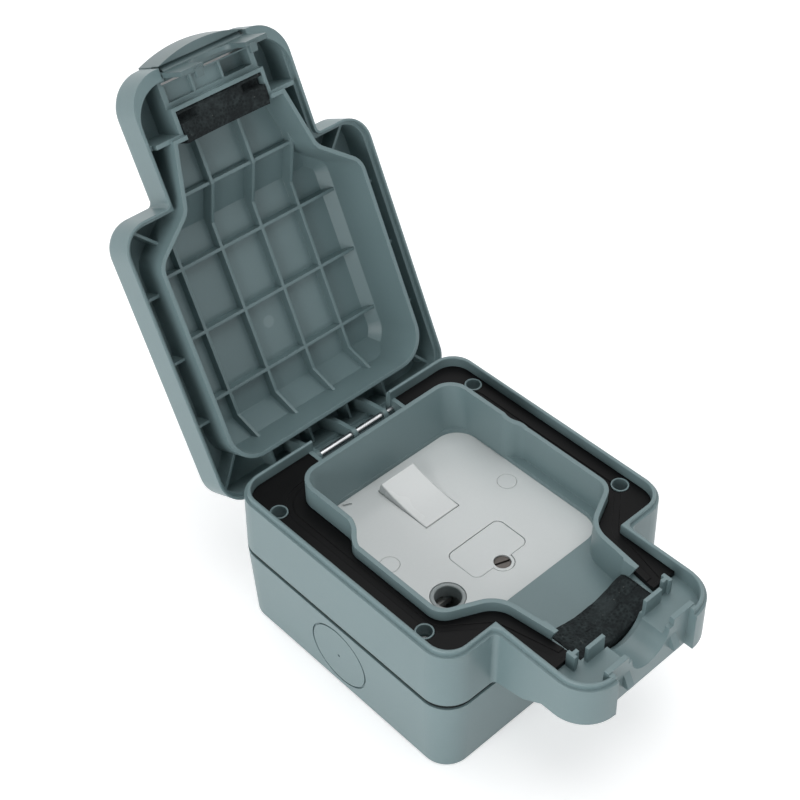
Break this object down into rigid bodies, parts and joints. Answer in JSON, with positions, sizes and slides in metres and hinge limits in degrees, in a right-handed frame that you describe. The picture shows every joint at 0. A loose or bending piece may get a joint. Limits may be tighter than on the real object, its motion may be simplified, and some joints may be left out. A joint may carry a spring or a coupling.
{
  "type": "weatherproof switched fused spur",
  "caption": "Weatherproof wall box with a hinged sealing lid over a switched fused connection unit, with a latch and a foam-sealed flex outlet in its tail.",
  "frame": {"origin": "centre of the square back box's flat rear face, where it meets the wall", "axes": "+Z out of the wall towards the user, +Y towards the lid's hinge, the cable tail along -Y"},
  "size_m": [0.114, 0.2382, 0.1948],
  "materials": {
    "housing_plastic": "fine satin moulding, blue grey",
    "black_rubber": "smooth black rubber",
    "seal_rubber": "dark grey green seal",
    "foam": "open cell dark foam",
    "steel": "bright zinc plated",
    "dark_steel": "dull dark plating",
    "brass": "plain brass",
    "white_plastic": "off-white gloss",
    "grey_plastic": "mid grey",
    "base_plastic": "white moulding",
    "ceramic": "glazed ceramic tube",
    "cap_metal": "plated brass cap"
  },
  "bodies": {
    "housing": {"back_box": "housing_plastic", "base_screws": "steel", "blade_pin": "steel", "box_earth_screw": "brass", "box_earth_terminal": "brass", "box_gasket": "seal_rubber", "clamp_screws": "steel", "cord_clamp": "base_plastic", "earth_bar": "brass", "faceplate": "white_plastic", "faceplate_screws": "steel", "fixed_contacts": "brass", "frame_foam": "foam", "frame_screws": "steel", "front_frame": "housing_plastic", "fuse_clips": "brass", "hinge_pin": "steel", "membrane": "black_rubber", "outlet_bush": "grey_plastic", "screw_caps": "white_plastic", "screw_washers": "grey_plastic", "spur_base": "base_plastic", "terminal_screws": "brass", "terminals": "brass"},
    "lid": {"lid": "housing_plastic", "lid_foam": "foam", "latch_pin": "steel"},
    "latch": {"latch": "housing_plastic"},
    "rocker": {"rocker": "white_plastic", "rocker_plungers": "base_plastic", "plunger_springs": "steel"},
    "blades": {"contact_blades": "brass"},
    "carrier": {"fuse_carrier": "white_plastic", "fuse_tube": "ceramic", "fuse_caps": "cap_metal", "carrier_screw": "dark_steel"}
  },
  "joints": [
    {"name": "lid_hinge", "type": "hinge", "parent": "housing", "child": "lid", "pos_m": [0, 0.0532, 0.0545], "axis": [1, 0, 0], "range_deg": [0, 115.2]},
    {"name": "latch_pivot", "type": "hinge", "parent": "lid", "child": "latch", "pos_m": [0, 0.12673, 0.18656], "axis": [-1, 0, 0], "range_deg": [0, 18]},
    {"name": "rocker_tilt", "type": "hinge", "parent": "housing", "child": "rocker", "pos_m": [0, 0.017, 0.045], "axis": [-1, 0, 0], "range_deg": [0, 20.6]},
    {"name": "blade_rock", "type": "hinge", "parent": "housing", "child": "blades", "pos_m": [0, 0.017, 0.031], "axis": [1, 0, 0], "range_deg": [0, 14.42]},
    {"name": "fuse_slide", "type": "slide", "parent": "housing", "child": "carrier", "axis": [0, 0, 1], "range_m": [0, 0.015]}
  ],
  "couplings": [
    {"joint": "blade_rock", "follows": "rocker_tilt", "ratio": 0.7}
  ]
}
